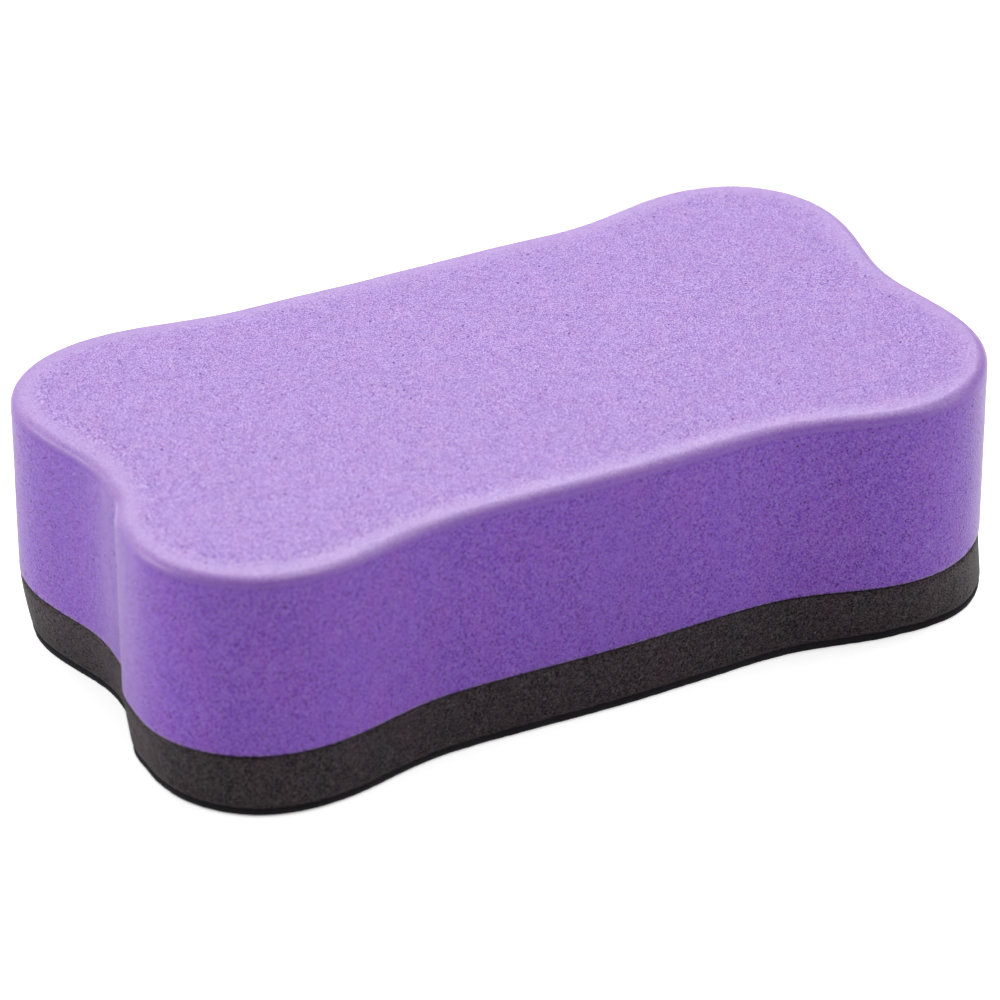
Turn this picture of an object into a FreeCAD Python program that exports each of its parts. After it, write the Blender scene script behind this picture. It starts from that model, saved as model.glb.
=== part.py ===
import FreeCAD, Part
import os

# Foam chalkboard eraser.
# A glued stack of die-cut sheets that share one four-lobed (bone-shaped) outline:
# felt facing, bond film, charcoal foam pad, bond film, violet foam grip block.
# Units are millimetres.
# Frame: origin at the centre of the felt's wiping face, +X along the length,
# +Y across the width, +Z up, away from the board.

# Grip block outline
LENGTH = 100.0            # over the end lobes
WIDTH = 56.3              # over the side lobes
OUTLINE_SAMPLES = 4000    # points used to measure the curve before scaling

# Thicknesses
FELT_T = 1.0
FILM_T = 0.15             # each adhesive film
PAD_T = 6.3
BLOCK_T = 21.6

# Insets from the grip block's outline
PAD_INSET = 0.08
FELT_INSET = 0.40
FILM_INSET = 0.60         # films stop short of the foam edges

# Edge roundings
FELT_EDGE_R = 0.4         # pressed edge of the wiping face
PAD_EDGE_R = 0.25         # upper and lower edges
BLOCK_TOP_R = 1.25
BLOCK_HEEL_R = 0.25       # lower edge

# Underside height of each layer
FELT_Z = 0.0
LOWER_FILM_Z = FELT_Z + FELT_T
PAD_Z = LOWER_FILM_Z + FILM_T
UPPER_FILM_Z = PAD_Z + PAD_T
BLOCK_Z = UPPER_FILM_Z + FILM_T

RIM_TOLERANCE = 1e-4      # height tolerance when picking rim edges

# One quarter of the outline before scaling, as x, y stations from the centre at
# equal steps along the curve: shallow notch in the middle of an end, corner lobe of
# about 14 mm radius, concave flank, then the nearly straight waist of a long side.
QUARTER = (
    (47.60, 0.00), (47.87, 3.02), (48.52, 5.98), (49.25, 8.92), (49.81, 11.89),
    (49.99, 14.92), (49.59, 17.91), (48.50, 20.73), (46.78, 23.22), (44.57, 25.29),
    (41.98, 26.84), (39.10, 27.78), (36.10, 28.14), (33.07, 27.98), (30.09, 27.44),
    (27.15, 26.71), (24.20, 26.01), (21.21, 25.53), (18.18, 25.35), (15.15, 25.36),
    (12.12, 25.43), (9.09, 25.49), (6.06, 25.55), (3.03, 25.59), (0.00, 25.62),
)


def mirrored_quarter():
    """The quarter mirrored into all four quadrants, counter-clockwise, no repeats."""
    to_left_end = [(-x, y) for x, y in QUARTER[-2::-1]]
    to_lower_side = [(-x, -y) for x, y in QUARTER[1:]]
    to_right_end = [(x, -y) for x, y in QUARTER[-2:0:-1]]
    return list(QUARTER) + to_left_end + to_lower_side + to_right_end


def closed_curve(points, z=0.0):
    curve = Part.BSplineCurve()
    curve.interpolate(Points=[FreeCAD.Vector(x, y, z) for x, y in points],
                      PeriodicFlag=True)
    return curve


def outline_points():
    """Outline scaled so the finished curve measures LENGTH by WIDTH."""
    points = mirrored_quarter()
    samples = closed_curve(points).discretize(OUTLINE_SAMPLES)
    scale_x = LENGTH / 2.0 / max(abs(sample.x) for sample in samples)
    scale_y = WIDTH / 2.0 / max(abs(sample.y) for sample in samples)
    return [(x * scale_x, y * scale_y) for x, y in points]


def inset_points(points, inset):
    """The outline moved inwards along its own normals."""
    curve = closed_curve(points)
    moved = []
    for x, y in points:
        tangent = curve.tangent(curve.parameter(FreeCAD.Vector(x, y, 0)))[0]
        # The outline runs counter-clockwise, so this normal points outwards.
        normal = FreeCAD.Vector(tangent.y, -tangent.x, 0).normalize()
        moved.append((x - normal.x * inset, y - normal.y * inset))
    return moved


def slab(points, z, thickness):
    wire = Part.Wire([closed_curve(points, z).toShape()])
    return Part.Face(wire).extrude(FreeCAD.Vector(0, 0, thickness))


def rim_edges(shape, z):
    """Edges that lie flat at height z."""
    return [edge for edge in shape.Edges
            if abs(edge.BoundBox.ZMin - z) < RIM_TOLERANCE
            and abs(edge.BoundBox.ZMax - z) < RIM_TOLERANCE]


def wiping_felt(outline):
    """Felt facing, rounded around its lower, wiping face."""
    felt = slab(inset_points(outline, FELT_INSET), FELT_Z, FELT_T)
    return felt.makeFillet(FELT_EDGE_R, rim_edges(felt, FELT_Z))


def bond_film(outline, z):
    """Adhesive film with its underside at height z."""
    return slab(inset_points(outline, FILM_INSET), z, FILM_T)


def backing_pad(outline):
    """Charcoal foam pad."""
    pad = slab(inset_points(outline, PAD_INSET), PAD_Z, PAD_T)
    rims = rim_edges(pad, PAD_Z) + rim_edges(pad, PAD_Z + PAD_T)
    return pad.makeFillet(PAD_EDGE_R, rims)


def grip_block(outline):
    """Violet foam block, rounded more at the top than at the heel."""
    block = slab(outline, BLOCK_Z, BLOCK_T)
    block = block.makeFillet(BLOCK_TOP_R, rim_edges(block, BLOCK_Z + BLOCK_T))
    return block.makeFillet(BLOCK_HEEL_R, rim_edges(block, BLOCK_Z))


def save(shape, node):
    """Export the one solid, taken out of any compound a fillet returns."""
    if not shape.isValid() or len(shape.Solids) != 1:
        raise ValueError(node + " is not one valid solid")
    shape.Solids[0].exportStep(os.path.join("parts", node + ".step"))


os.makedirs("parts", exist_ok=True)

outline = outline_points()
save(wiping_felt(outline), "wiping_felt")
save(bond_film(outline, LOWER_FILM_Z), "lower_bond_film")
save(backing_pad(outline), "backing_pad")
save(bond_film(outline, UPPER_FILM_Z), "upper_bond_film")
save(grip_block(outline), "grip_block")
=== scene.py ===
"""A bone-shaped eraser lying felt side down, its length along X and its width along Y, centred
on the Z axis. From the top it is a violet foam grip block, a glue film, a charcoal foam pad,
a second glue film and a black felt. Lengths are in mm; meshes, lights and camera are placed
in metres.
"""
import math

import bpy
import numpy as np
from mathutils import Matrix, Vector
from mathutils.geometry import delaunay_2d_cdt
from mathutils.kdtree import KDTree


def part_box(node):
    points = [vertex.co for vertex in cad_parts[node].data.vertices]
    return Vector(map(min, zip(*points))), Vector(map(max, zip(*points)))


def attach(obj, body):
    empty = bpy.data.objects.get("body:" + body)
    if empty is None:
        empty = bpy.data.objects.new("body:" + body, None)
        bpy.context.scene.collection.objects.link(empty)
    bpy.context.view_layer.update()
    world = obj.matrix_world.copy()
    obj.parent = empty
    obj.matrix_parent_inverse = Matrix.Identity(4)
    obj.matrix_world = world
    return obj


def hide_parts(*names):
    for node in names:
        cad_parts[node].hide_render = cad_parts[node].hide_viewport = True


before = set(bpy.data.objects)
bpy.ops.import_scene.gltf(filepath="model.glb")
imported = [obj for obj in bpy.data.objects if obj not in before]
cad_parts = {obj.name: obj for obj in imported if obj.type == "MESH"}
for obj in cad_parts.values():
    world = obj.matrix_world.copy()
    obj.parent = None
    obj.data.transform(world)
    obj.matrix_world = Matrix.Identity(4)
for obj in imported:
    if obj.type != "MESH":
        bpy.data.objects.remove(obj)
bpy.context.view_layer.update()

MM = 0.001


def z_range(node):
    """Bottom and top of a CAD piece, in mm."""
    lo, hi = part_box(node)
    return lo.z / MM, hi.z / MM


BLOCK_TOP = z_range("grip_block")[1]
PAD_BOTTOM, PAD_TOP = z_range("backing_pad")
EDGE_ROUND = 1.25                   # rounding of the block's top edge
LIP_WIDTH, LIP_DROP = 4.4, 0.25     # the top falls away slightly towards its pressed edge
PORE_SHARE = 1.0

# ------------------------------------------------------------------ outline
# One quarter of the outline, (x, y) from the middle of the +X end to the middle of the +Y side.
QUARTER = (
    (47.60, 0.00), (47.87, 3.02), (48.52, 5.98), (49.25, 8.92), (49.81, 11.89),
    (49.99, 14.92), (49.59, 17.91), (48.50, 20.73), (46.78, 23.22), (44.57, 25.29),
    (41.98, 26.84), (39.10, 27.78), (36.10, 28.14), (33.07, 27.98), (30.09, 27.44),
    (27.15, 26.71), (24.20, 26.01), (21.21, 25.53), (18.18, 25.35), (15.15, 25.36),
    (12.12, 25.43), (9.09, 25.49), (6.06, 25.55), (3.03, 25.59), (0.00, 25.62),
)
OUTLINE_SAMPLES = 12000
# Slow wave of the knife cut: cosine and sine heights of once, twice, three times ... round.
WAVE_COS = (0.015, 0.030, 0.032, 0.057, -0.010, 0.079, 0.102, -0.022, 0.135)
WAVE_SIN = (0.031, -0.041, -0.113, 0.075, 0.064, 0.051, 0.085, -0.042, -0.104)
# A sharper step between notch and lobe at the -X end: (height, y of its middle, width).
END_X = -40
END_STEP = ((-0.42, -5.2, 2.1), (0.28, -9.8, 2.5))


def mirrored_outline():
    """The quarter mirrored into the whole anticlockwise outline."""
    quarter = list(QUARTER)
    return np.array(quarter + [(-x, y) for x, y in quarter[:-1][::-1]]
                    + [(-x, -y) for x, y in quarter[1:]]
                    + [(x, -y) for x, y in quarter[1:-1][::-1]], float)


def closed_spline(knots, samples):
    """Closed C2 cubic through the knots by chord length, sampled evenly."""
    count = len(knots)
    chord = np.linalg.norm(np.roll(knots, -1, 0) - knots, axis=1)
    system = np.zeros((count, count))
    target = np.zeros((count, 2))
    for i in range(count):
        before, after = chord[i - 1], chord[i]
        ahead = (i + 1) % count
        system[i, i - 1] += before
        system[i, i] += 2 * (before + after)
        system[i, ahead] += after
        target[i] = 6 * ((knots[ahead] - knots[i]) / after - (knots[i] - knots[i - 1]) / before)
    bend = np.linalg.solve(system, target)
    start = np.r_[0, np.cumsum(chord)]
    place = np.linspace(0, start[-1], samples, endpoint=False)
    k = np.clip(np.searchsorted(start, place, side="right") - 1, 0, count - 1)
    ahead = (k + 1) % count
    done = (place - start[k])[:, None]
    span = chord[k][:, None]
    return (bend[k] * (span - done) ** 3 / (6 * span) + bend[ahead] * done ** 3 / (6 * span)
            + (knots[k] / span - bend[k] * span / 6) * (span - done)
            + (knots[ahead] / span - bend[ahead] * span / 6) * done)


def loop_normals(loop):
    """Outward unit normals of an anticlockwise loop."""
    tangent = np.roll(loop, -1, 0) - np.roll(loop, 1, 0)
    tangent /= np.linalg.norm(tangent, axis=1)[:, None]
    return np.c_[tangent[:, 1], -tangent[:, 0]]


def chords(loop):
    return np.linalg.norm(np.diff(np.vstack([loop, loop[:1]]), axis=0), axis=1)


def cut_wave(loop):
    """Move the loop in and out as the knife wandered in the soft foam."""
    chord = chords(loop)
    turn = np.r_[0, np.cumsum(chord)][:-1] / chord.sum() * 2 * math.pi
    wave = np.zeros(len(loop))
    for k, (cos_height, sin_height) in enumerate(zip(WAVE_COS, WAVE_SIN), 1):
        wave += cos_height * np.cos(k * turn) + sin_height * np.sin(k * turn)
    wave += (loop[:, 0] < END_X) * sum(
        height * np.exp(-((loop[:, 1] - middle) / width) ** 2)
        for height, middle, width in END_STEP)
    return loop + loop_normals(loop) * wave[:, None]


block_lo, block_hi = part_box("grip_block")
OUTLINE = closed_spline(mirrored_outline(), OUTLINE_SAMPLES)
OUTLINE *= np.array([(block_hi.x - block_lo.x) / 2 / MM / np.abs(OUTLINE[:, 0]).max(),
                     (block_hi.y - block_lo.y) / 2 / MM / np.abs(OUTLINE[:, 1]).max()])
OUTLINE = cut_wave(OUTLINE)
NORMALS = loop_normals(OUTLINE)
RUN = np.r_[0, np.cumsum(chords(OUTLINE))]      # arc length at each outline point
PERIMETER = float(RUN[-1])

EDGE = KDTree(len(OUTLINE))
for _i, (_x, _y) in enumerate(OUTLINE):
    EDGE.insert((_x, _y, 0.0), _i)
EDGE.balance()


def outline_at(run):
    """Outline points and outward normals at the given arc lengths."""
    run = np.mod(run, PERIMETER)

    def along(values):
        closed = np.vstack([values, values[:1]])
        return np.c_[np.interp(run, RUN, closed[:, 0]), np.interp(run, RUN, closed[:, 1])]
    normal = along(NORMALS)
    return along(OUTLINE), normal / np.linalg.norm(normal, axis=1)[:, None]


def edge_distance(points):
    return np.array([EDGE.find((x, y, 0.0))[2] for x, y in points[:, :2]])


# ------------------------------------------------------------------ seeded noise
_noise_rng = np.random.default_rng(7)
SHUFFLE = np.tile(_noise_rng.permutation(256), 3)
GRADIENTS = _noise_rng.normal(size=(256, 3))
GRADIENTS /= np.linalg.norm(GRADIENTS, axis=1)[:, None]


def perlin(points, seed):
    """Gradient noise with cells one unit wide."""
    points = np.asarray(points, float) + seed * 17.31
    cell = np.floor(points).astype(int)
    inner = points - cell
    fade = inner * inner * inner * (inner * (inner * 6 - 15) + 10)
    cell &= 255
    out = 0.0
    for corner in np.ndindex(2, 2, 2):
        dx, dy, dz = corner
        pick = SHUFFLE[SHUFFLE[SHUFFLE[cell[:, 0] + dx] + cell[:, 1] + dy] + cell[:, 2] + dz]
        share = np.where(np.array(corner, bool), fade, 1 - fade)
        weight = share[:, 0] * share[:, 1] * share[:, 2]
        out = out + weight * np.sum(GRADIENTS[pick] * (inner - np.array(corner)), axis=1)
    return out * 1.6


def fractal(points, wave, seed, octaves=2):
    """Noise of the given wavelength with finer, weaker octaves on top."""
    out, height, frequency = 0.0, 1.0, 1.0 / wave
    for octave in range(octaves):
        out = out + height * perlin(points * frequency, seed + octave * 3)
        height *= 0.5
        frequency *= 2.03
    return out


def smooth(x):
    return x * x * (3 - 2 * x)


# ------------------------------------------------------------------ open cells (pores)
PORE_MARGIN = 0.07      # least foam between two pores
PORE_GAP = 0.12         # least distance from a pore's rim to a plain mesh point
PORE_DEPTH = 0.8        # mean depth as a share of the radius
# Rings of a pore: share of the radius, share of the depth, points, turn in radians.
PORE_RINGS = ((1.0, 0.0, 8, 0.0), (0.62, 0.75, 6, 0.4), (0.0, 1.0, 1, 0.0))
RIM_KIND = -1.0         # marks rim points until the mesh is made
HEX_ROW = 0.866         # row spacing of a hexagonal grid over its step


def neighbours(buckets, bucket):
    """Everything kept in a bucket and the eight round it."""
    for a in (-1, 0, 1):
        for b in (-1, 0, 1):
            yield from buckets.get((bucket[0] + a, bucket[1] + b), ())


def scatter(rng, count, lo, hi, radius_range):
    """Seeded pore centres and radii, with clear foam between them."""
    small, large = radius_range
    radii = np.clip(small * np.exp(rng.exponential(0.33, count + 1)), small, large)
    size = 2 * (max(radii) + PORE_MARGIN)
    centres, kept, buckets = [], [], {}
    for k in range(count):
        x, y = rng.uniform(lo[0], hi[0]), rng.uniform(lo[1], hi[1])
        bucket = (int(x // size), int(y // size))
        if not any((centres[j][0] - x) ** 2 + (centres[j][1] - y) ** 2
                   < (kept[j] + radii[k] + PORE_MARGIN) ** 2 for j in neighbours(buckets, bucket)):
            buckets.setdefault(bucket, []).append(len(centres))
            centres.append((x, y))
            kept.append(radii[k])
    return np.array(centres).reshape(-1, 2), np.array(kept)


def clear_of(points, centres, radii):
    """True where a point lies outside every pore's rim plus the gap."""
    keep = np.ones(len(points), bool)
    if not len(centres):
        return keep
    size = float(radii.max() + PORE_GAP)
    buckets = {}
    for k, (x, y) in enumerate(centres):
        buckets.setdefault((int(x // size), int(y // size)), []).append(k)
    for i, (x, y) in enumerate(points):
        keep[i] = not any((centres[k, 0] - x) ** 2 + (centres[k, 1] - y) ** 2
                          < (radii[k] + PORE_GAP) ** 2
                          for k in neighbours(buckets, (int(x // size), int(y // size))))
    return keep


def cut_pores(rng, grid, centres, radii):
    """Grid points clear of the pores, then the pores' own points, with depth and kind of each.
    Kind is 0 on plain foam, RIM_KIND on a rim, and the share of the depth inside a pore."""
    grid = grid[clear_of(grid, centres, radii)]
    deepest = radii * PORE_DEPTH * rng.uniform(0.7, 1.3, len(radii))
    points, depths, kinds = [grid], [np.zeros(len(grid))], [np.zeros(len(grid))]
    for width, depth, count, turn in PORE_RINGS:
        angle = np.arange(count) * 2 * math.pi / count + turn
        dx = np.cos(angle)[None, :] * radii[:, None] * width
        dy = np.sin(angle)[None, :] * radii[:, None] * width
        ring = np.stack([centres[:, :1] + dx, centres[:, 1:] + dy], -1)
        points.append(ring.reshape(-1, 2))
        depths.append(np.repeat(deepest * depth, count))
        kinds.append(np.full(len(centres) * count, depth if depth else RIM_KIND))
    return np.vstack(points), np.concatenate(depths), np.concatenate(kinds)


# ------------------------------------------------------------------ flat meshing
def triangulate(points, faces, kind):
    """Constrained Delaunay triangles as indices into points."""
    result = delaunay_2d_cdt([Vector((float(a), float(b))) for a, b in points], [], faces, kind,
                             1e-7, True)
    origin = [o[0] if o else -1 for o in result[3]]
    triangles = [(origin[f[0]], origin[f[1]], origin[f[2]]) for f in result[2]]
    return np.array([f for f in triangles if min(f) >= 0 and len(set(f)) == 3])


def inside(points, ring, gap):
    """True inside the ring and farther than gap from its points."""
    ok = np.zeros(len(points), bool)
    a, b = ring[None], np.roll(ring, -1, 0)[None]
    for k in range(0, len(points), 4000):
        part = points[k:k + 4000]
        y = part[:, None, 1]
        spans = (a[..., 1] > y) != (b[..., 1] > y)
        with np.errstate(divide="ignore", invalid="ignore"):
            hit = a[..., 0] + (y - a[..., 1]) * (b[..., 0] - a[..., 0]) / (b[..., 1] - a[..., 1])
        within = (spans & (part[:, None, 0] < hit)).sum(1) % 2 == 1
        nearest = ((part[:, None, :] - a) ** 2).sum(-1).min(1)
        ok[k:k + 4000] = within & (nearest > gap * gap)
    return ok


def face_grid(ring, step):
    """Hexagonal grid inside a ring, kept just clear of it."""
    lo, hi = ring.min(0), ring.max(0)
    rows = []
    for j, y in enumerate(np.arange(lo[1], hi[1], step * HEX_ROW)):
        xs = np.arange(lo[0] + (step / 2 if j % 2 else 0), hi[0], step)
        rows.append(np.c_[xs, np.full(len(xs), y)])
    grid = np.vstack(rows)
    return grid[inside(grid, ring, step * 0.55)]


def cap(rng, ring, rim_ids, first_id, step, pores, radius_range):
    """Fill a rim with upward triangles: new points, their depths and kinds, and the faces."""
    centres, radii = np.zeros((0, 2)), np.zeros(0)
    if pores:
        centres, radii = scatter(rng, pores, ring.min(0), ring.max(0), radius_range)
        well_in = inside(centres, ring, 1.0)
        centres, radii = centres[well_in], radii[well_in]
    new, depth, kind = cut_pores(rng, face_grid(ring, step), centres, radii)
    flat = np.vstack([ring, new])
    faces = triangulate(flat, [list(range(len(ring)))], 1)
    rim_only = (faces < len(ring)).all(1)      # only these can bridge a notch
    good = ~rim_only
    good[rim_only] = inside(flat[faces[rim_only]].mean(1), ring, 0.0)
    ids = np.r_[rim_ids, first_id + np.arange(len(new))]
    return new, depth, kind, ids[faces[good]]


# ------------------------------------------------------------------ layer builder
def section(bottom, top, bottom_round, top_round, inset):
    """Edge section of a sheet: its length, and a function from the length run up from the
    bottom rim to (outward offset, z, upward tilt of the normal)."""
    low_arc, high_arc = bottom_round * math.pi / 2, top_round * math.pi / 2
    straight = (top - bottom) - bottom_round - top_round

    def place(run):
        offset, z, tilt = np.zeros_like(run), np.zeros_like(run), np.zeros_like(run)
        part = run < low_arc
        angle = run[part] / bottom_round
        offset[part] = -bottom_round * (1 - np.sin(angle))
        z[part] = bottom + bottom_round * (1 - np.cos(angle))
        tilt[part] = -(math.pi / 2 - angle)
        part = (run >= low_arc) & (run <= low_arc + straight)
        z[part] = bottom + bottom_round + (run[part] - low_arc)
        part = run > low_arc + straight
        angle = (run[part] - low_arc - straight) / top_round
        offset[part] = -top_round * (1 - np.cos(angle))
        z[part] = top - top_round + top_round * np.sin(angle)
        tilt[part] = angle
        return offset - inset, z, tilt
    return low_arc + straight + high_arc, place


def side_rows(length, top_round, step):
    """Rows of the side, even up the wall and close over a large top rounding, and the highest
    place for a pore."""
    large = top_round > 0.6
    even = length - top_round * math.pi / 2 - 0.75 if large else length
    rows = list(np.linspace(0, even, max(4, int(round(even / (step * HEX_ROW))) + 1)))
    if large:
        rows += list(np.linspace(even, length, int(round((length - even) / 0.15)) + 1)[1:])
        return rows, even + 0.3
    return rows, length - 0.32


def side_grid(rows, columns):
    """Staggered rows of (outline run, section run), with a point on the seam at both ends."""
    grid = []
    for j, height in enumerate(rows):
        if j % 2 == 0 or j == len(rows) - 1:
            run = np.arange(columns + 1) * PERIMETER / columns
        else:
            run = np.r_[0, (np.arange(columns) + 0.5) * PERIMETER / columns, PERIMETER]
        grid.append(np.c_[run, np.full(len(run), height)])
    return grid


def weld_seam(unrolled):
    """Index map that puts the points at the end of the outline onto those at its start."""
    ids = np.arange(len(unrolled))
    start = {round(unrolled[i, 1], 6): i for i in np.nonzero(unrolled[:, 0] <= 1e-9)[0]}
    for i in np.nonzero(unrolled[:, 0] >= PERIMETER - 1e-9)[0]:
        ids[i] = start[round(unrolled[i, 1], 6)]
    return ids


def relief_normals(points, normals, relief, reach=0.05):
    """Normals of the relief surface, from its slope along two tangents."""
    helper = np.where(np.abs(normals[:, 2:3]) < 0.9, np.array([[0.0, 0.0, 1.0]]),
                      np.array([[1.0, 0.0, 0.0]]))
    tangent = np.cross(normals, helper)
    tangent /= np.linalg.norm(tangent, axis=1)[:, None]
    here = relief(points, normals)
    out = normals
    for way in (tangent, np.cross(normals, tangent)):
        slope = (relief(points + way * reach, normals) - here) / reach
        out = out - way * slope[:, None]
    return out / np.linalg.norm(out, axis=1)[:, None]


def make_object(name, points, faces, rim, rim_normals, attributes):
    """Smooth mesh object; pore rims are shaded as the unbroken surface round them."""
    mesh = bpy.data.meshes.new(name)
    mesh.from_pydata((points * MM).tolist(), [], faces.tolist())
    mesh.validate()
    for key, values in attributes.items():
        attribute = mesh.attributes.new(key, "FLOAT", "POINT")
        attribute.data.foreach_set("value", values.astype(np.float32))
    mesh.polygons.foreach_set("use_smooth", np.ones(len(mesh.polygons), bool))
    mesh.update()
    shading = np.zeros(len(points) * 3, np.float32)
    mesh.vertex_normals.foreach_get("vector", shading)
    shading = shading.reshape(-1, 3).astype(float)
    shading[rim] = rim_normals[rim]
    mesh.normals_split_custom_set_from_vertices(shading.tolist())
    mesh.update()
    ob = bpy.data.objects.new(name, mesh)
    bpy.context.scene.collection.objects.link(ob)
    return ob


def layer(name, node, inset, bottom_round, top_round, step, top_step, bottom_step, seed, relief,
          wander, tuck=None, side_pores=0, top_pores=0, radius_range=(0.09, 0.2), marks=None,
          on_floor=False):
    """One die-cut sheet as a closed mesh. relief(points, normals) is the outward displacement,
    wander the height of the slow unevenness of the cut, tuck(points) a further shift, and
    marks(points, normals) gives extra point attributes."""
    rng = np.random.default_rng(seed)
    bottom, top = z_range(node)
    length, place = section(bottom, top, bottom_round, top_round, inset)
    columns = int(round(PERIMETER / step))
    rows, pore_top = side_rows(length, top_round, step)
    grid = side_grid(rows, columns)
    centres, radii = scatter(rng, int(side_pores * PORE_SHARE), (1.2, 0.32),
                             (PERIMETER - 1.2, pore_top), radius_range)
    body, depth, kind = cut_pores(rng, np.vstack(grid[1:-1]), centres, radii)
    unrolled = np.vstack([grid[0], grid[-1], body])
    rims = np.zeros(len(grid[0]) + len(grid[-1]))
    outline, outward = outline_at(unrolled[:, 0])
    offset, z, tilt = place(unrolled[:, 1])
    side = np.c_[outline + outward * offset[:, None], z]
    points, depths, kinds = [side], [np.r_[rims, depth]], [np.r_[rims, kind]]
    normals = [np.c_[outward * np.cos(tilt)[:, None], np.sin(tilt)]]
    faces = [weld_seam(unrolled)[triangulate(unrolled, [], 0)]]

    count = len(side)
    low_rim = np.arange(columns)
    high_rim = len(grid[0]) + low_rim
    for rim_ids, height, up, cap_step, pores in (
            (high_rim, top, 1.0, top_step, int(top_pores * PORE_SHARE)),
            (low_rim, bottom, -1.0, bottom_step, 0)):
        new, depth, kind, cap_faces = cap(rng, side[rim_ids][:, :2], rim_ids, count, cap_step,
                                          pores, radius_range)
        points.append(np.c_[new, np.full(len(new), height)])
        normals.append(np.tile([0, 0, up], (len(new), 1)))
        depths.append(depth)
        kinds.append(kind)
        faces.append(cap_faces if up > 0 else cap_faces[:, ::-1])
        count += len(new)
    points, normals, faces = np.vstack(points), np.vstack(normals), np.vstack(faces)
    depths, kinds = np.concatenate(depths), np.concatenate(kinds)

    # unevenness of the cut, then the surface relief, then the pores
    sway = fractal(np.c_[points[:, :2], points[:, 2] * 0.35], wave=26.0, seed=seed + 40) * wander
    points = points + np.c_[normals[:, :2] * sway[:, None], np.zeros(len(points))]
    if tuck:
        points = points + tuck(points)
    rim = kinds < 0
    attributes = {"pore": np.where(rim, 0.0, kinds)}
    if marks:
        attributes.update(marks(points, normals))
    rim_normals = relief_normals(points, normals, relief)
    points = points + normals * relief(points, normals)[:, None]
    points = points - normals * depths[:, None]
    if on_floor:
        points[:, 2] = np.maximum(points[:, 2], bottom)

    # drop the seam's unused copies
    used = np.zeros(len(points), bool)
    used[faces.ravel()] = True
    faces = (np.cumsum(used) - 1)[faces]
    return make_object(name, points[used], faces, rim[used], rim_normals[used],
                       {key: values[used] for key, values in attributes.items()})


# ------------------------------------------------------------------ grip block
def on_top(normals):
    """Masks of the flat top and of the rounding and wall points that face upwards."""
    top = normals[:, 2] > 0.995
    return top, (normals[:, 2] > 0.0) & ~top


def crease_line(points, normals):
    """Fine line just under where the rounding meets the wall."""
    height = BLOCK_TOP - EDGE_ROUND - 0.10
    return np.exp(-((points[:, 2] - height) / 0.17) ** 2) * (normals[:, 2] < 0.35)


def block_marks(points, normals):
    """How far a point lies in the pressed lip, where the grain is smoother and a highlight is
    painted, and in the crease or at the foot of the block, where shade is painted.
    """
    rim = np.zeros(len(points))
    top, arc = on_top(normals)
    rim[top] = np.clip(1 - (edge_distance(points[top]) - EDGE_ROUND) / 3.0, 0, 1)
    rim[arc] = 1.0
    # painted shade along the foot of the block, where it meets the pad
    foot_shade = np.clip(1 - (points[:, 2] - PAD_TOP) / 0.5, 0, 1) ** 0.7
    return {"rim": smooth(rim), "crease": 0.35 * crease_line(points, normals) + 1.5 * foot_shade}


def block_relief(points, normals):
    out = fractal(points, wave=9.0, seed=3) * 0.035             # soft, slow unevenness
    out = out + fractal(points, wave=1.5, seed=11) * 0.010      # orange peel of the skin
    out = out * np.clip(1 + normals[:, 2] * 4, 0, 1)            # the glued underside stays flat
    # the knife drags the lower edge slightly out of line
    heel = np.clip(1 - (points[:, 2] - PAD_TOP) / 0.9, 0, 1)
    side = np.clip(1 - np.abs(normals[:, 2]), 0, 1)
    out = out + heel * side * (
        fractal(points, wave=0.9, seed=21) * 0.06
        + fractal(points * np.array([1, 1, 0.0]), wave=3.5, seed=23) * 0.05)
    # pressed lip round the top, carried over the rounding without a kink
    lip = np.zeros(len(points))
    top, arc = on_top(normals)
    inward = np.clip((edge_distance(points[top]) - EDGE_ROUND) / LIP_WIDTH, 0, 1)
    lip[top] = (1 - inward) ** 2
    rise = normals[arc, 2]
    lip[arc] = rise ** 2 * (
        1 + 2 * EDGE_ROUND / LIP_WIDTH * np.sqrt(np.clip(1 - rise ** 2, 0, 1)))
    # handled most at the -X end
    worn = 0.35 + 0.65 * smooth(np.clip((-8.0 - points[:, 0]) / 22.0, 0, 1))
    crease = crease_line(points, normals) * (0.8 + 0.5 * perlin(points / 6.0, 29))
    return out - LIP_DROP * lip * worn - 0.01 * crease


block = layer("grip_block_foam", "grip_block", inset=0.0, bottom_round=0.2,
              top_round=EDGE_ROUND, step=0.6, top_step=0.7, bottom_step=2.2, seed=101,
              relief=block_relief, wander=0.03, side_pores=2300, top_pores=1400,
              radius_range=(0.07, 0.18), marks=block_marks)

# ------------------------------------------------------------------ backing pad
# How far the trimmed foot of the pad runs in (out where negative):
# under the +X -Y lobe as (outline x, amount), under the -X end as (outline y, amount).
LOBE_TUCK = np.array((
    (14.0, 0.0), (20.0, 0.30), (25.0, 0.75), (30.0, 1.2), (34.5, 1.45), (39.0, 1.0),
    (44.0, 0.0), (47.5, -0.45), (49.6, -0.45))).T
END_TUCK = np.array((
    (-26.5, 0.0), (-23.0, 0.45), (-18.0, 0.95), (-13.0, 0.95), (-9.0, 0.7), (-5.5, 0.6),
    (-2.0, 0.9), (3.0, 1.0), (8.0, 0.95), (13.0, 0.95), (18.0, 0.95), (22.0, 0.7),
    (26.0, 0.0))).T
TUCK_REACH = 9.0        # how far in from the edge the tuck fades out


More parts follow.
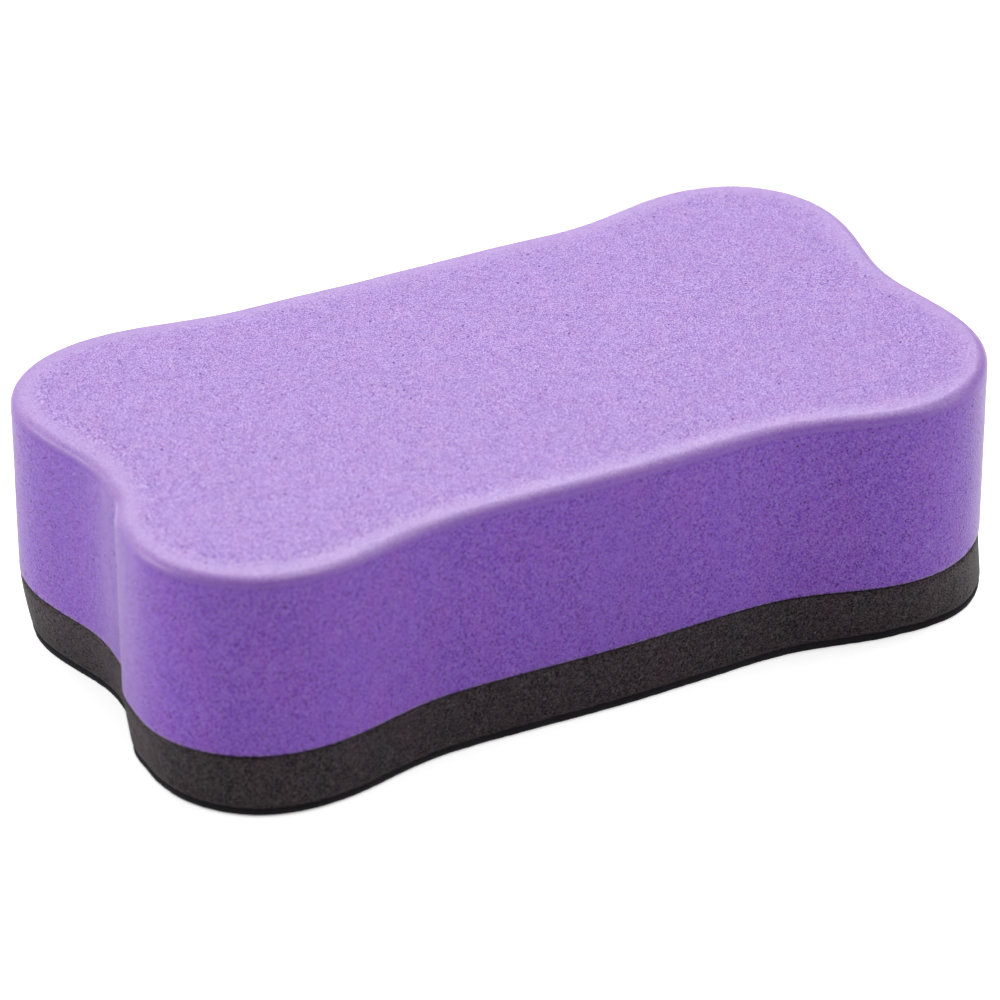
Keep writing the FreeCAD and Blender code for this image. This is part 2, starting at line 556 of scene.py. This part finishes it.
def foot_tuck(points):
    out = np.zeros_like(points)
    low = np.clip((PAD_TOP - points[:, 2]) / (PAD_TOP - PAD_BOTTOM), 0, 1)
    lobe = (points[:, 1] < -6.0) & (points[:, 0] > 4.0)
    end = points[:, 0] < -38.0
    for i in np.nonzero((lobe | end) & (low > 0))[0]:
        edge, k, distance = EDGE.find((points[i, 0], points[i, 1], 0.0))
        if distance >= TUCK_REACH:
            continue
        if lobe[i]:
            fade = min(1.0, max(0.0, (-8.0 - edge[1]) / 6.0))
            amount = float(np.interp(edge[0], *LOBE_TUCK)) * fade
        else:
            amount = float(np.interp(edge[1], *END_TUCK))
        out[i, :2] = -NORMALS[k] * amount * (1 - distance / TUCK_REACH) * low[i] ** 1.3
    return out


def wall_share(normals):
    """1 on a wall, 0 on a flat face."""
    return np.clip(1 - np.abs(normals[:, 2]) * 1.2, 0, 1)


def pad_relief(points, normals):
    out = fractal(points, wave=8.0, seed=33) * 0.04
    out = out + fractal(points, wave=1.1, seed=37) * 0.012
    edge = np.clip((points[:, 2] - (PAD_TOP - 0.75)) / 0.7, 0, 1)
    foot = np.clip((PAD_BOTTOM + 0.6 - points[:, 2]) / 0.6, 0, 1)
    ragged = edge * fractal(points, wave=0.8, seed=41) * 0.05
    return wall_share(normals) * (out + ragged - foot * 0.03)


pad = layer("backing_pad_foam", "backing_pad", inset=0.08, bottom_round=0.12, top_round=0.2,
            step=0.5, top_step=2.2, bottom_step=2.0, seed=202, relief=pad_relief, wander=0.08,
            tuck=foot_tuck, side_pores=1300, radius_range=(0.06, 0.14))


# ------------------------------------------------------------------ wiping felt
def felt_relief(points, normals):
    """Matted fibres: noise drawn out in three directions."""
    fibres = 0.0
    for k, angle in enumerate((0.3, 1.4, 2.5)):
        c, s = math.cos(angle), math.sin(angle)
        x, y, z = points.T
        drawn = np.c_[(x * c + y * s) / 2.6, (-x * s + y * c) / 0.55, z / 0.5]
        fibres = fibres + perlin(drawn, 60 + k)
    out = fibres * 0.02 + fractal(points, wave=5.0, seed=71) * 0.02
    return (out * np.clip(1 - normals[:, 2] * 3, 0, 1)
            - 0.03 * np.clip(-normals[:, 2], 0, 1))


felt = layer("wiping_felt_facing", "wiping_felt", inset=0.20, bottom_round=0.38,
             top_round=0.04, step=0.42, top_step=1.6, bottom_step=0.5, seed=303,
             relief=felt_relief, wander=0.06, tuck=foot_tuck, on_floor=True)


# ------------------------------------------------------------------ glue films
def film_relief(points, normals):
    """Uneven squeeze-out along the joint."""
    return wall_share(normals) * (fractal(points, wave=3.2, seed=81, octaves=3) * 0.22)


def glue_film(name, node, inset, seed, tuck=None):
    return layer(name, node, inset=inset, bottom_round=0.05, top_round=0.05, step=0.6,
                 top_step=3.0, bottom_step=3.0, seed=seed, relief=film_relief, wander=0.06,
                 tuck=tuck)


upper_film = glue_film("upper_bond_glue", "upper_bond_film", inset=0.50, seed=404)
lower_film = glue_film("lower_bond_glue", "lower_bond_film", inset=0.34, seed=505,
                       tuck=foot_tuck)

for ob, node, slot in ((block, "grip_block", "violet_foam"),
                       (pad, "backing_pad", "charcoal_foam"),
                       (felt, "wiping_felt", "black_felt"),
                       (upper_film, "upper_bond_film", "bond_film"),
                       (lower_film, "lower_bond_film", "bond_film")):
    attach(ob, "root")
    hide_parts(node)


# ------------------------------------------------------------------ materials
class Mat:
    """A node tree round one Principled shader, in object coordinates measured in mm."""

    def __init__(self, name):
        self.material = bpy.data.materials.new(name)
        self.material.use_nodes = True
        self.tree = self.material.node_tree
        self.tree.nodes.clear()
        self.out = self.node("OutputMaterial")
        self.shader = self.node("BsdfPrincipled")
        self.put(self.shader.outputs[0], self.out.inputs[0])
        source = self.node("TexCoord").outputs["Object"]
        self.coords = self.mapped(source, scale=(1000, 1000, 1000))

    def node(self, kind):
        return self.tree.nodes.new("ShaderNode" + kind)

    def put(self, value, socket):
        """Set a socket to a number or an RGB colour, or link an output to it."""
        if isinstance(value, (int, float)):
            socket.default_value = value
        elif isinstance(value, tuple):
            socket.default_value = (*value, 1)
        else:
            self.tree.links.new(value, socket)

    def mapped(self, coords, scale, turn=0.0):
        n = self.node("Mapping")
        n.inputs["Scale"].default_value = scale
        n.inputs["Rotation"].default_value = (0, 0, turn)
        self.put(coords, n.inputs[0])
        return n.outputs[0]

    def noise(self, scale, detail, rough, stretch=None, turn=0.0):
        n = self.node("TexNoise")
        n.inputs["Scale"].default_value = scale
        n.inputs["Detail"].default_value = detail
        n.inputs["Roughness"].default_value = rough
        coords = self.mapped(self.coords, stretch, turn) if stretch else self.coords
        self.put(coords, n.inputs["Vector"])
        return n.outputs["Fac"]

    def cells(self, scale):
        n = self.node("TexVoronoi")
        n.inputs["Scale"].default_value = scale
        self.put(self.coords, n.inputs["Vector"])
        return n.outputs["Distance"]

    def math(self, operation, a, b=0.0, c=None, clamp=False):
        n = self.node("Math")
        n.operation = operation
        n.use_clamp = clamp
        self.put(a, n.inputs[0])
        self.put(b, n.inputs[1])
        if c is not None:
            self.put(c, n.inputs[2])
        return n.outputs[0]

    def add(self, a, b):
        return self.math("ADD", a, b)

    def sub(self, a, b, clamp=False):
        return self.math("SUBTRACT", a, b, clamp=clamp)

    def mul(self, a, b, clamp=False):
        return self.math("MULTIPLY", a, b, clamp=clamp)

    def swing(self, value, centre, weight):
        return self.mul(self.sub(value, centre), weight)

    def ramp(self, value, start, end, first=0.0, last=1.0):
        """Smooth step from first at start to last at end."""
        n = self.node("MapRange")
        n.clamp = True
        n.interpolation_type = "SMOOTHSTEP"
        self.put(value, n.inputs["Value"])
        for key, number in (("From Min", start), ("From Max", end),
                            ("To Min", first), ("To Max", last)):
            n.inputs[key].default_value = number
        return n.outputs["Result"]

    def mix(self, share, a, b):
        n = self.node("Mix")
        n.data_type = "RGBA"
        self.put(share, n.inputs["Factor"])
        self.put(a, n.inputs[6])
        self.put(b, n.inputs[7])
        return n.outputs[2]

    def attribute(self, name):
        n = self.node("Attribute")
        n.attribute_name = name
        return n.outputs["Fac"]

    def flatness(self):
        """1 on a horizontal face, 0 on a wall."""
        split = self.node("SeparateXYZ")
        self.put(self.node("NewGeometry").outputs["True Normal"], split.inputs[0])
        return self.math("ABSOLUTE", split.outputs[2])

    def bump(self, height, strength, depth):
        n = self.node("Bump")
        n.inputs["Strength"].default_value = strength
        n.inputs["Distance"].default_value = depth * MM
        self.put(height, n.inputs["Height"])
        return n.outputs[0]

    def set(self, **inputs):
        for key, value in inputs.items():
            self.put(value, self.shader.inputs[key.replace("_", " ")])


def foam(name, base, dark, light, mottle, mottle_share, grain, rough, sheen, sheen_tint, ior,
         bump_depth, pin_share, pin_skin_loss, spec, gloss, speck=None, lip=None, skin_and_sheen=None,
         seed=0.0):
    """Cut closed-cell foam. mottle: two dye colours. pin_share: strength of the pin pores, and
    pin_skin_loss how much weaker they are on a flat face. gloss: how far the grain varies the
    reflection. speck: (share, colour). lip: (share, colour), a painted highlight on the rim of the
    top.
    skin_and_sheen: colour of the flat faces, less saturated than the walls, a painted sheen."""
    m = Mat(name)
    flat = m.flatness()
    # painted sheen: the flat faces take a less saturated colour than the walls
    ground = m.mix(m.ramp(flat, 0.3, 0.95), base, skin_and_sheen) if skin_and_sheen else base
    # slow mottling of the sheet
    cloud = m.noise(0.30, 2.0, 0.55, stretch=(1, 1, 0.35), turn=0.2 + seed)
    tone = m.noise(0.12, 2.0, 0.5, stretch=(1, 1, 0.5), turn=seed)
    colour = m.mix(mottle_share, ground, m.mix(m.ramp(cloud, 0.33, 0.67), *mottle))
    colour = m.mix(m.ramp(tone, 0.3, 0.7, last=0.07), colour, dark)
    # light and dark grain of the cut cells, from 0.15 to 1.5 mm
    fine = m.noise(6.2, 1.0, 0.6)
    mid = m.noise(3.1, 1.0, 0.5)
    big = m.noise(1.5, 1.0, 0.5)
    wide = m.noise(0.75, 1.0, 0.5, stretch=(1, 1, 0.6), turn=seed)
    cell = m.cells(4.6)
    speckle = m.swing(fine, centre=0.5, weight=2.6)
    for value, centre, weight in ((mid, 0.5, 1.1), (big, 0.5, 0.40), (wide, 0.5, 0.25),
                                  (cell, 0.45, -0.5)):
        speckle = m.add(speckle, m.swing(value, centre, weight))
    if lip:                                   # the pressed lip is smoother
        rim = m.attribute("rim")
        quiet = m.sub(1.0, m.mul(rim, 0.6))
        speckle = m.mul(speckle, quiet)
    if skin_and_sheen:                                  # the knife-cut wall reflects more evenly
        speckle = m.mul(speckle, m.ramp(flat, 0.3, 0.95, first=0.74))
    shine = m.math("MAXIMUM", m.math("MULTIPLY_ADD", speckle, gloss, 1.0), 0.05)
    speckle = m.mul(speckle, grain)
    colour = m.mix(m.mul(speckle, -1.0, clamp=True), colour, dark)
    colour = m.mix(m.mul(speckle, 0.62, clamp=True), colour, light)
    # pin pores too small for the mesh, in loose drifts, painted as dots of shade
    pins = m.math("MAXIMUM", m.ramp(m.cells(2.1), 0.14, 0.30, first=1.0, last=0.0),
                  m.ramp(m.cells(1.25), 0.10, 0.19, first=1.0, last=0.0))
    pins = m.mul(pins, m.ramp(m.noise(0.7, 1.0, 0.5), 0.36, 0.60, first=0.5))
    if lip:
        pins = m.mul(pins, quiet)
    pins = m.mul(m.mul(pins, m.sub(1.0, m.mul(flat, pin_skin_loss))), pin_share)
    pore_shade = tuple(channel * 0.4 for channel in dark)
    colour = m.mix(pins, colour, pore_shade)
    if speck:
        dust = m.ramp(m.cells(0.55), 0.028, 0.05, first=1.0, last=0.0)
        colour = m.mix(m.mul(dust, speck[0]), colour, speck[1])
    if lip:
        # painted highlight: a paler, less saturated colour over the rim of the top
        colour = m.mix(m.mul(rim, lip[0]), colour, lip[1])
        # painted shade in the crease under the rounding and along the foot of the block, broken up
        # by the grain
        crease_and_foot_shade = m.mul(m.attribute("crease"), m.ramp(mid, 0.38, 0.60, first=0.15))
        colour = m.mix(m.mul(crease_and_foot_shade, 0.6, clamp=True), colour, dark)
    # the modelled pores sit in their own shade
    colour = m.mix(m.mul(m.attribute("pore"), 0.6), colour, pore_shade)
    height = m.add(m.add(m.mul(fine, 1.0), m.mul(cell, -0.5)), m.mul(mid, 0.8))
    if lip:
        height = m.mul(height, quiet)
    height = m.sub(height, m.mul(pins, 0.5))
    normal = m.bump(height, strength=1.0, depth=bump_depth)
    roughness = m.add(m.swing(mid, centre=0.5, weight=0.3), rough)
    if lip:
        roughness = m.sub(roughness, m.mul(rim, 0.06))
    # a moulded skin reflects more than the wall; pin pores do not reflect
    level = m.mul(shine, m.math("MULTIPLY_ADD", flat, spec * 0.66 if skin_and_sheen else 0.0, spec))
    level = m.mul(level, m.sub(1.0, pins))
    if lip:                                   # the painted shade at the foot and in the crease also dulls the reflection and the sheen
        dull = m.sub(1.0, m.mul(crease_and_foot_shade, 0.85), clamp=True)
        level = m.mul(level, dull)
        sheen = m.mul(dull, sheen)
    m.set(Base_Color=colour, Roughness=roughness, Normal=normal, Specular_IOR_Level=level,
          Sheen_Weight=sheen, IOR=ior, Sheen_Roughness=0.35, Sheen_Tint=sheen_tint)
    return m.material


def felt_material():
    m = Mat("black_needle_felt")
    a, b, c = (m.noise(3.0, 3.0, 0.6, stretch=(0.35, 2.4, 1.5), turn=turn)
               for turn in (0.3, 1.5, 2.6))
    fibre = m.ramp(m.math("MAXIMUM", m.math("MAXIMUM", a, b), c), 0.52, 0.78)
    cloud = m.noise(0.25, 2.0, 0.5)
    # the pressed edge is flatter and blacker than the fibrous wiping face
    face = m.ramp(m.flatness(), 0.55, 0.95, first=0.25)
    fibre = m.mul(fibre, face)
    colour = m.mix(fibre, (0.009, 0.007, 0.009), (0.040, 0.036, 0.040))
    colour = m.mix(m.mul(m.ramp(cloud, 0.4, 0.65, last=0.35), face), colour, (0.045, 0.04, 0.04))
    m.set(Base_Color=colour, Roughness=m.ramp(fibre, 0.0, 1.0, first=0.9, last=0.8),
          Normal=m.bump(fibre, strength=1.0, depth=0.09), Specular_IOR_Level=0.2,
          Sheen_Weight=m.mul(face, 0.3), Sheen_Roughness=0.5, Sheen_Tint=(0.8, 0.8, 0.85))
    return m.material


def glue_material():
    m = Mat("dried_contact_adhesive")
    patch = m.noise(1.3, 3.0, 0.6)
    colour = m.mix(m.ramp(patch, 0.35, 0.65), (0.035, 0.018, 0.06), (0.06, 0.035, 0.10))
    m.set(Base_Color=colour, Roughness=m.ramp(patch, 0.3, 0.7, first=0.35, last=0.6),
          Normal=m.bump(patch, strength=0.6, depth=0.06))
    return m.material


violet = foam("violet_eva_foam", base=(0.225, 0.058, 0.545), dark=(0.085, 0.018, 0.24),
              light=(0.40, 0.19, 0.74), mottle=((0.26, 0.048, 0.52), (0.165, 0.054, 0.58)),
              mottle_share=0.22, grain=0.6, rough=0.5, sheen=1.0, sheen_tint=(0.95, 0.85, 1.0),
              ior=1.75, bump_depth=0.04, pin_share=0.75, pin_skin_loss=0.6, spec=0.43, gloss=2.0,
              # lip: painted highlight over the rim of the top; skin_and_sheen: painted sheen, a
              # less saturated colour on the flat faces
              lip=(0.15, (0.38, 0.26, 0.42)), skin_and_sheen=(0.228, 0.073, 0.42))
charcoal = foam("charcoal_eva_foam", base=(0.030, 0.016, 0.023), dark=(0.008, 0.005, 0.007),
                light=(0.085, 0.062, 0.066),
                mottle=((0.042, 0.015, 0.024), (0.016, 0.020, 0.018)), mottle_share=0.4,
                grain=1.9, rough=0.55, sheen=0.1, sheen_tint=(0.95, 0.88, 0.85), ior=1.45,
                bump_depth=0.05, pin_share=0.7, pin_skin_loss=0.0, spec=0.4, gloss=1.2,
                speck=(0.8, (0.30, 0.27, 0.27)), seed=1.0)
glue = glue_material()
for ob, material in ((block, violet), (pad, charcoal), (felt, felt_material()),
                     (upper_film, glue), (lower_film, glue)):
    ob.data.materials.append(material)

# ------------------------------------------------------------------ floor and world
scene = bpy.context.scene
FLOOR_HALF = 3.0            # metres
BACKDROP = 1.05             # brightness of the white backdrop the camera sees
FLOOR_GLOW = 0.60           # added to the floor near the eraser
ROOM_LIGHT = 0.30           # what the room adds to the light


def floor_material():
    """Pale floor that, to the camera, glows softly and fades into the white backdrop."""
    m = Mat("pale_floor")
    cloud = m.noise(0.02, 3.0, 0.5)
    m.set(Base_Color=m.mix(m.ramp(cloud, 0.3, 0.7), (0.86, 0.86, 0.86), (0.89, 0.89, 0.885)),
          Roughness=0.9, Specular_IOR_Level=0.0)

    def emission(strength):
        n = m.node("Emission")
        n.inputs["Strength"].default_value = strength
        return n.outputs[0]

    def blend(share, a, b):
        n = m.node("MixShader")
        for socket, value in zip(n.inputs, (share, a, b)):
            m.put(value, socket)
        return n.outputs[0]
    plain = m.shader.outputs[0]
    glowing = m.node("AddShader")
    m.put(plain, glowing.inputs[0])
    m.put(emission(FLOOR_GLOW), glowing.inputs[1])
    distance = m.node("VectorMath")
    distance.operation = "LENGTH"
    m.put(m.coords, distance.inputs[0])
    sweep = blend(m.ramp(distance.outputs["Value"], 62.0, 190.0), glowing.outputs[0],
                  emission(BACKDROP))
    seen = blend(m.node("LightPath").outputs["Is Camera Ray"], plain, sweep)
    m.put(seen, m.out.inputs[0])
    return m.material


floor_mesh = bpy.data.meshes.new("floor")
floor_mesh.from_pydata([(x * FLOOR_HALF, y * FLOOR_HALF, 0)
                        for x, y in ((-1, -1), (1, -1), (1, 1), (-1, 1))], [], [(0, 1, 2, 3)])
floor = bpy.data.objects.new("floor", floor_mesh)
scene.collection.objects.link(floor)
floor_mesh.materials.append(floor_material())

world = bpy.data.worlds.new("studio")
scene.world = world
world.use_nodes = True
tree = world.node_tree
background = tree.nodes["Background"]
background.inputs["Color"].default_value = (1.0, 1.0, 1.0, 1)
strength = tree.nodes.new("ShaderNodeMix")
strength.data_type = "FLOAT"
strength.inputs[2].default_value = ROOM_LIGHT
strength.inputs[3].default_value = BACKDROP
light_path = tree.nodes.new("ShaderNodeLightPath")
tree.links.new(light_path.outputs["Is Camera Ray"], strength.inputs[0])
tree.links.new(strength.outputs[0], background.inputs["Strength"])

# ------------------------------------------------------------------ lights
# Soft square panels on a dome: azimuth (0 = +X, 90 = +Y), elevation, watts.
PANELS = (
    (60, 28, 1.25), (90, 28, 1.35), (120, 28, 1.0), (150, 28, 3.6), (180, 28, 0.65),
    (0, 50, 0.65), (30, 50, 0.5), (60, 50, 3.2), (90, 50, 0.7), (30, 72, 0.7),
    (330, 72, 1.65), (300, 48, 0.25), (330, 28, 1.9),
)
DOME_CENTRE = Vector((0, 0, 0.015))     # metres, as are the next two
DOME_RADIUS = 1.0
PANEL_SIZE = 0.5


def panel(azimuth, elevation, watts):
    name = "panel_%03d_%02d" % (azimuth, elevation)
    light = bpy.data.lights.new(name, "AREA")
    light.shape = "RECTANGLE"
    light.size = light.size_y = PANEL_SIZE
    light.energy = watts
    ob = bpy.data.objects.new(name, light)
    a, e = math.radians(azimuth), math.radians(elevation)
    outward = Vector((math.cos(e) * math.cos(a), math.cos(e) * math.sin(a), math.sin(e)))
    outward.normalize()
    ob.location = DOME_CENTRE + outward * DOME_RADIUS
    ob.rotation_mode = "QUATERNION"
    ob.rotation_quaternion = (-outward).to_track_quat("-Z", "Y")
    ob.visible_camera = False
    scene.collection.objects.link(ob)


for _panel in PANELS:
    panel(*_panel)

# ------------------------------------------------------------------ camera
AZIMUTH, ELEVATION, ROLL = -0.49598, 0.53756, 0.00681   # radians, azimuth from -Y
TARGET = Vector((5.460, -6.310, 14.696))
DISTANCE = 580.156
# Slopes by which the view axis turns from the target, to the left and downwards.
TURN_LEFT, TURN_DOWN = 0.014111553, 0.00044040286

back = Vector((math.sin(AZIMUTH) * math.cos(ELEVATION),
               -math.cos(AZIMUTH) * math.cos(ELEVATION), math.sin(ELEVATION)))
level_right = Vector((math.cos(AZIMUTH), math.sin(AZIMUTH), 0))
level_up = back.cross(level_right)
right = level_right * math.cos(ROLL) + level_up * math.sin(ROLL)
up = -level_right * math.sin(ROLL) + level_up * math.cos(ROLL)
eye = (TARGET + back * DISTANCE) * MM
axis_z = -(-back - right * TURN_LEFT - up * TURN_DOWN).normalized()
axis_x = (right - axis_z * right.dot(axis_z)).normalized()
axis_y = axis_z.cross(axis_x)

lens = bpy.data.cameras.new("camera")
lens.sensor_width = 36
lens.lens = 192.91428
lens.clip_start, lens.clip_end = 0.01, 20
camera = bpy.data.objects.new("camera", lens)
scene.collection.objects.link(camera)
camera.matrix_world = Matrix([*zip(axis_x, axis_y, axis_z, eye), (0, 0, 0, 1)])
focus = bpy.data.objects.new("focus_point", None)
focus.location = (0.012, 0.006, 0.024)
scene.collection.objects.link(focus)
lens.dof.use_dof = True
lens.dof.focus_object = focus
lens.dof.aperture_fstop = 40.0
scene.camera = camera

scene.view_settings.view_transform = "Standard"
scene.view_settings.look = "None"
